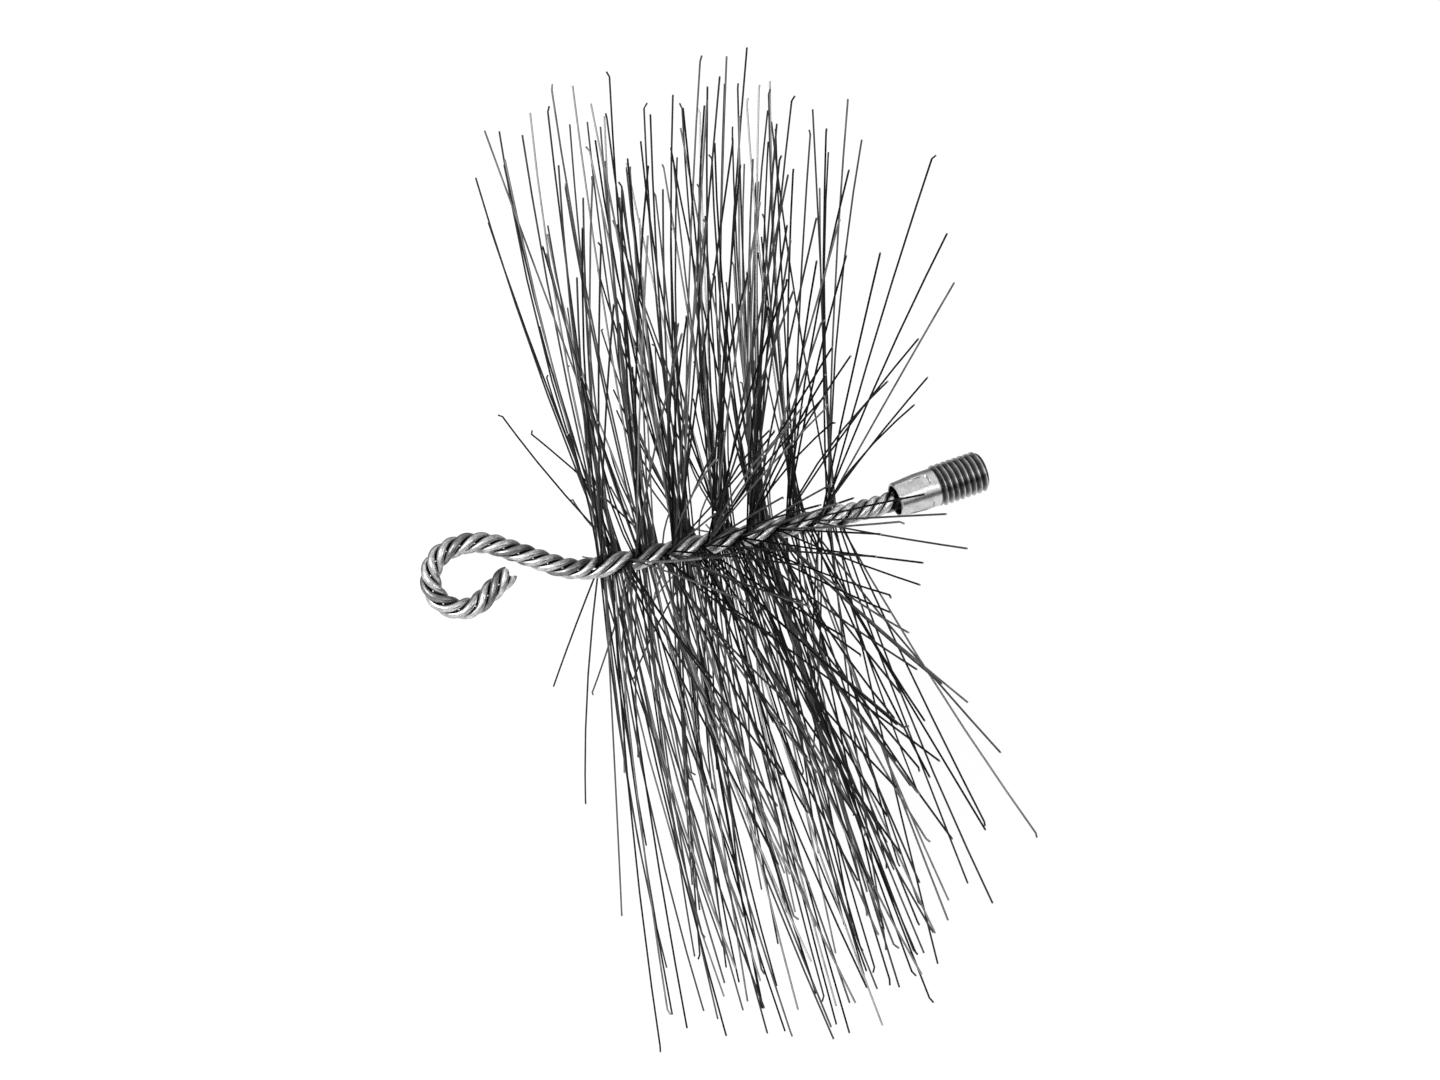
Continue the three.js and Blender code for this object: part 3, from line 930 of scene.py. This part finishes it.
def zinc_material():
    material, tree, surface = new_material("zinc_plated_ferrule")
    place = tree.nodes.new("ShaderNodeTexCoord").outputs["Object"]
    centred = add_node(tree, "ShaderNodeMapping", Vector=place, Location=-mouth_point)
    upright = add_node(
        tree, "ShaderNodeMapping", Vector=centred.outputs[0],
        Rotation=ferrule_place.to_3x3().inverted().to_euler(),
    ).outputs[0]
    squeezed = add_node(
        tree, "ShaderNodeMapping", Vector=upright, Scale=(mark_squeeze, mark_squeeze, 1),
    )
    marks = noise(tree, squeezed.outputs[0], mark_scale, 2, 0.5)
    grain = noise(tree, upright, grain_scale, 3, 0.6)
    stains = noise(tree, upright, stain_scale, 3, 0.55)
    plate = ramp(tree, stains, [(0.3, 0.5), (0.5, 0.64), (0.7, 0.76)])
    fine = ramp(tree, grain, [(0.32, 0.7), (0.55, 1.0)])
    flattened = add_node(tree, "ShaderNodeMapping", Vector=upright, Scale=(1, 1, 0))
    from_axis = add_node(tree, "ShaderNodeVectorMath", Vector=flattened.outputs[0])
    from_axis.operation = "LENGTH"
    radius = from_axis.outputs["Value"]
    height = add_node(tree, "ShaderNodeSeparateXYZ", Vector=upright).outputs["Z"]
    on_sleeve = remap(tree, height, sleeve_length - run_out, sleeve_length, 1, 0)
    on_end = remap(tree, height, ferrule_length - end_edge, ferrule_length, 0, 1)
    # Painted shade: the roots of the thread and the bore are darkened, while the sleeve and the end
    # face stay bright.
    thread_root_shading = remap(tree, radius, thread_root, thread_radius, thread_root_shade_tone, 1)
    thread_root_shading = larger(tree, thread_root_shading, larger(tree, on_sleeve, on_end))
    bore_shading = remap(tree, radius, flare_radius, flare_radius + flare_edge, bore_shade_tone, 1)
    bore_shading = larger(tree, bore_shading, on_end)
    colour = multiply(tree, multiply(tree, multiply(tree, plate, fine), thread_root_shading), bore_shading)
    tree.links.new(colour, surface.inputs["Base Color"])
    tree.links.new(remap(tree, grain, 0.3, 0.7, 0.22, 0.34), surface.inputs["Roughness"])
    surface.inputs["Metallic"].default_value = 1
    relief = add_node(tree, "ShaderNodeBump", Height=marks, Strength=0.25, Distance=mark_relief)
    finer = add_node(
        tree, "ShaderNodeBump", Height=grain, Strength=0.2, Distance=grain_relief,
        Normal=relief.outputs[0],
    )
    tree.links.new(finer.outputs[0], surface.inputs["Normal"])
    return material


# %% [markdown]
# ## Pieces and the imported model
#
# Each new piece rides on the one rigid body, stands for its node of the imported model, and takes
# the material made for it above.

# %% Join the pieces to the frame
def hand_over(piece, node, material):
    piece.data.materials.clear()
    piece.data.materials.append(material)
    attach(piece, "root")
    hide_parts(node)


tempered = tempered_material()
for index, piece in enumerate(core_wires):
    galvanised = galvanised_material(index + 1, wire_tones[index])
    hand_over(piece, f"core_wire_{index + 1}", galvanised)
for index, piece in enumerate(bristle_sections):
    hand_over(piece, f"bristles_{index + 1}", tempered)
hand_over(ferrule, "threaded_ferrule", zinc_material())
print("pieces:", len(core_wires) + len(bristle_sections) + 1)

# %% [markdown]
# ## Floor and light
#
# The photograph has a plain white ground. The floor and the world are white to the camera and in
# reflections. Most of the floor's white is its own, and an ordinary white surface adds the rest, so
# that it keeps a soft shadow.

# %% Floor
own_white = 0.86
shadow_share = 0.25
bounce_grey = 0.4


def white_to_camera(tree):
    """1 for rays from the camera and for rays off gloss or through glass, 0 for the rest."""
    path = tree.nodes.new("ShaderNodeLightPath")
    seen = path.outputs["Is Camera Ray"]
    for name in ("Is Glossy Ray", "Is Transmission Ray"):
        seen = larger(tree, seen, path.outputs[name])
    return seen


def floor_material():
    material = bpy.data.materials.new("white_floor")
    material.use_nodes = True
    tree = material.node_tree
    tree.nodes.clear()
    seen = white_to_camera(tree)
    grey = remap(tree, seen, 0, 1, bounce_grey, shadow_share)
    plain = add_node(tree, "ShaderNodeBsdfDiffuse", Color=grey)
    glow = add_node(
        tree, "ShaderNodeEmission", Color=(1, 1, 1, 1), Strength=remap(tree, seen, 0, 1, 0, own_white),
    )
    both = tree.nodes.new("ShaderNodeAddShader")
    tree.links.new(plain.outputs[0], both.inputs[0])
    tree.links.new(glow.outputs[0], both.inputs[1])
    output = tree.nodes.new("ShaderNodeOutputMaterial")
    tree.links.new(both.outputs[0], output.inputs["Surface"])
    return material


floor_half_width = 6
floor_mesh = bmesh.new()
bmesh.ops.create_grid(floor_mesh, x_segments=1, y_segments=1, size=floor_half_width)
floor = piece_from(floor_mesh, "floor", smooth=False)
floor.data.materials.append(floor_material())

# %% [markdown]
# Bright metal shows its surroundings, and in an all-white room it would look flat. So two cards stand
# round the brush, as a photographer would place them: a dark one in front and to the right, and a
# grey one behind. Only reflections see them.

# %% Cards
def card(name, middle, width, height, grey):
    """An upright card that faces the brush and that only reflections see."""
    mesh = bmesh.new()
    bmesh.ops.create_grid(mesh, x_segments=1, y_segments=1, size=0.5)
    facing = Vector((-middle.x, -middle.y, 0)).to_track_quat("Z", "Y").to_matrix().to_4x4()
    sized = Matrix.Diagonal((width, height, 1, 1))
    bmesh.ops.transform(mesh, matrix=Matrix.Translation(middle) @ facing @ sized, verts=mesh.verts)
    piece = piece_from(mesh, name, smooth=False)
    material = bpy.data.materials.new(name)
    material.use_nodes = True
    surface = material.node_tree.nodes["Principled BSDF"]
    surface.inputs["Base Color"].default_value = (grey, grey, grey, 1)
    surface.inputs["Roughness"].default_value = 1
    piece.data.materials.append(material)
    piece.visible_camera = False
    piece.visible_diffuse = False
    piece.visible_shadow = False


card("dark_card", Vector((0.34, -0.44, 0.14)), 0.9, 0.27, 0.01)
card("grey_card", Vector((-0.1, 0.6, 0.305)), 1.4, 0.6, 0.3)

# %% [markdown]
# The light is soft and comes mostly from above and from the left, where the wires are brightest. A
# weaker light from the right keeps the other sides from going black, and a small one from the front
# draws the bright line along the ferrule.

# %% Light
def area_light(name, place, size, power):
    data = bpy.data.lights.new(name, "AREA")
    data.shape = "DISK"
    data.size = size
    data.energy = power
    light = bpy.data.objects.new(name, data)
    light.location = place
    light.rotation_euler = (aim - light.location).to_track_quat("-Z", "Y").to_euler()
    bpy.context.scene.collection.objects.link(light)
    return light


area_light("key_light", Vector((-0.9, -0.5, 1.5)), 0.8, 20)
area_light("fill_light", Vector((1.2, -0.9, 0.9)), 1.0, 6)
area_light("front_light", Vector((0.45, -1.1, 1.1)), 0.4, 1)

world = bpy.data.worlds.new("white_room")
world.use_nodes = True
bpy.context.scene.world = world
sky = world.node_tree.nodes["Background"]
sky.inputs["Color"].default_value = (1, 1, 1, 1)
world_fill = 0.35
world_strength = remap(world.node_tree, white_to_camera(world.node_tree), 0, 1, world_fill, 1)
world.node_tree.links.new(world_strength, sky.inputs["Strength"])
bpy.context.scene.view_settings.view_transform = "Standard"
